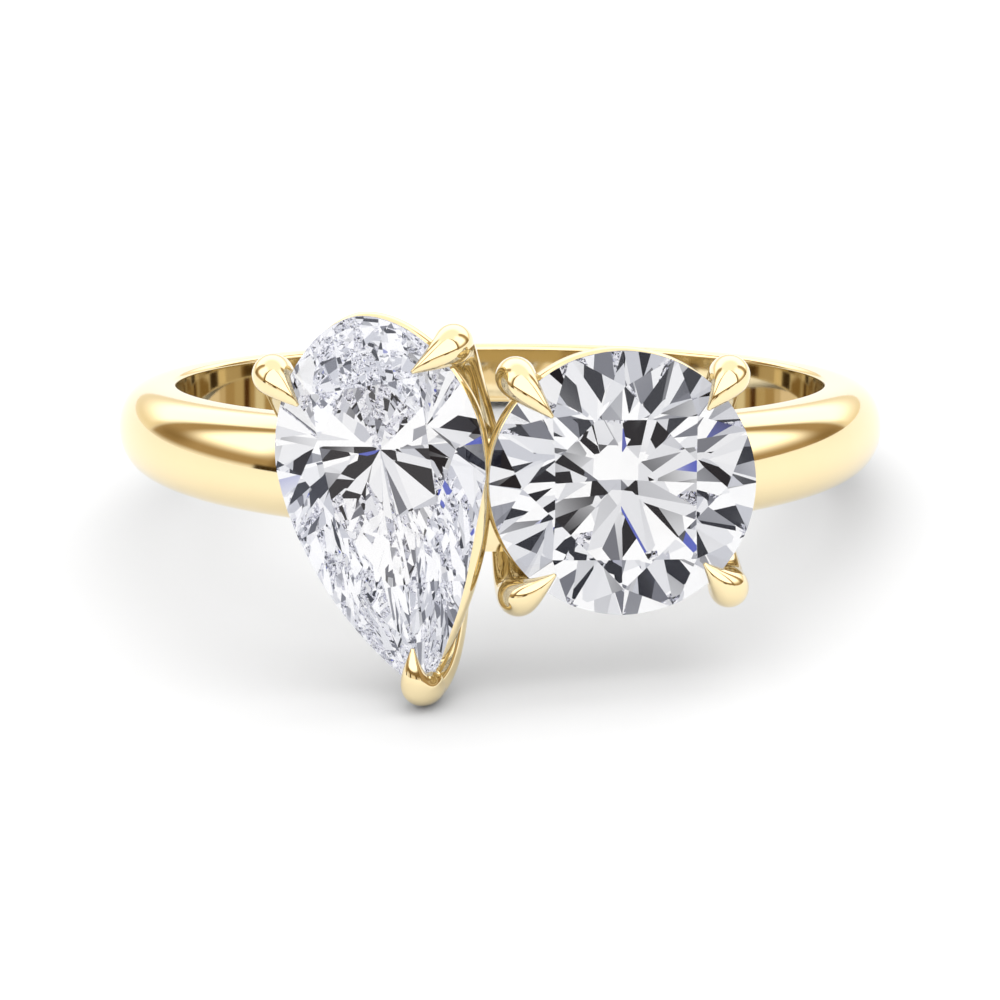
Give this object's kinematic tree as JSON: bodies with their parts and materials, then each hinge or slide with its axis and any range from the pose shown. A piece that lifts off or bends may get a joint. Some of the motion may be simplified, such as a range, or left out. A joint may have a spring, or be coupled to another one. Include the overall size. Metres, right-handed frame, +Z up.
{
  "type": "toi et moi ring",
  "caption": "Ring with a pear cut stone and a round brilliant side by side, each held by claws over a gallery rail on a plain domed band.",
  "frame": {"origin": "middle of the finger hole, on its axis", "axes": "+Z up with the ring lying on its side as it rests, +Y to the back of the band, the stones face -Y; the finger hole's axis leans 11 degrees from +Z"},
  "size_m": [0.0204, 0.0233, 0.0096],
  "materials": {
    "gold": "polished yellow gold",
    "diamond": "polished facets, colourless"
  },
  "bodies": {
    "root": {"gold_mount": "gold", "pear_diamond": "diamond", "round_diamond": "diamond"}
  },
  "joints": []
}
